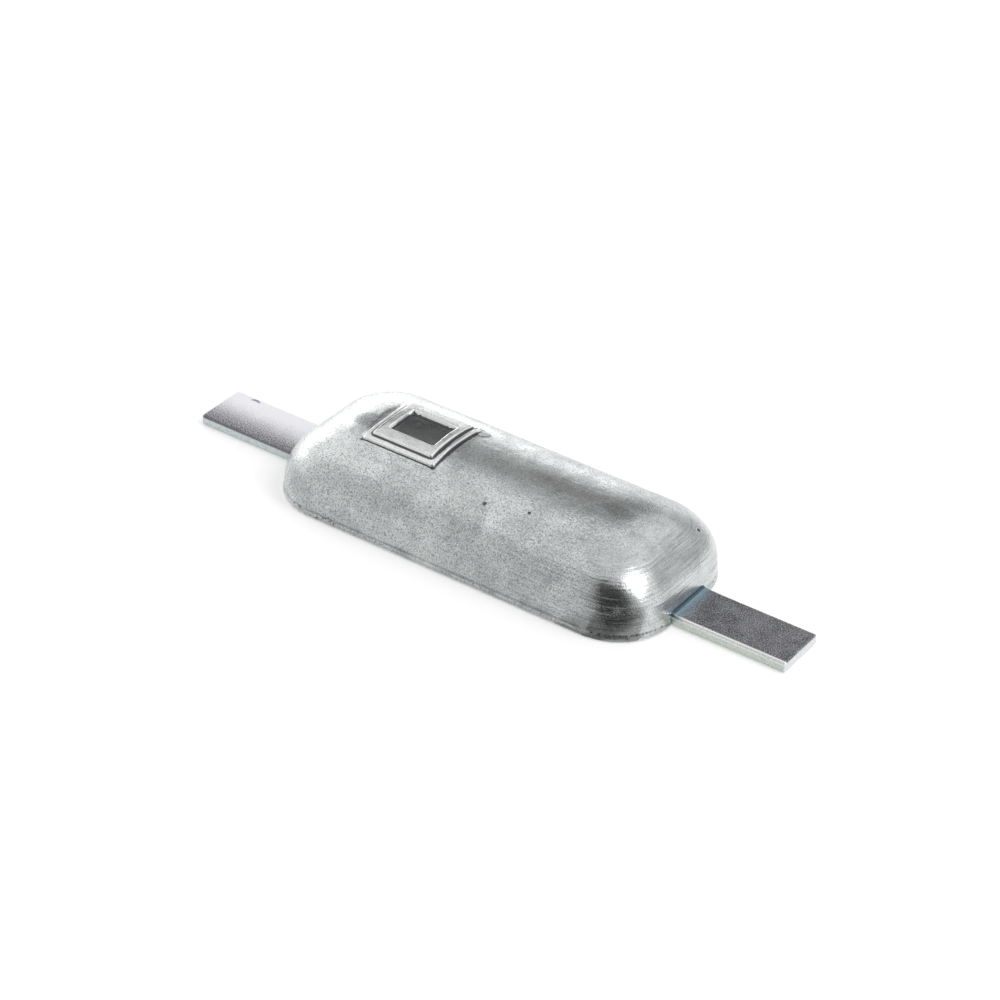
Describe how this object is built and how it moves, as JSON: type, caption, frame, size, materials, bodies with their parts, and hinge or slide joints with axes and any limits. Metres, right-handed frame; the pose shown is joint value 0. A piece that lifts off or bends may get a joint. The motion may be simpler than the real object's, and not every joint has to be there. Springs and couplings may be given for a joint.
{
  "type": "weld-on sacrificial anode",
  "caption": "Loaf-shaped zinc casting with a raised square pad, poured around a flat steel strap whose two ends are welded to a hull.",
  "frame": {"origin": "centre of the flat back face, in the plane that lies against the hull", "axes": "+X along the strap, +Z out from the hull towards the rounded crown, +Y across; the raised pad is on the -X half"},
  "size_m": [0.282, 0.081, 0.0346],
  "materials": {
    "zinc": "as cast, dull bright grey",
    "plated_steel": "bright zinc plate over rolled steel"
  },
  "bodies": {
    "root": {"zinc_casting": "zinc", "steel_strap": "plated_steel"}
  },
  "joints": []
}
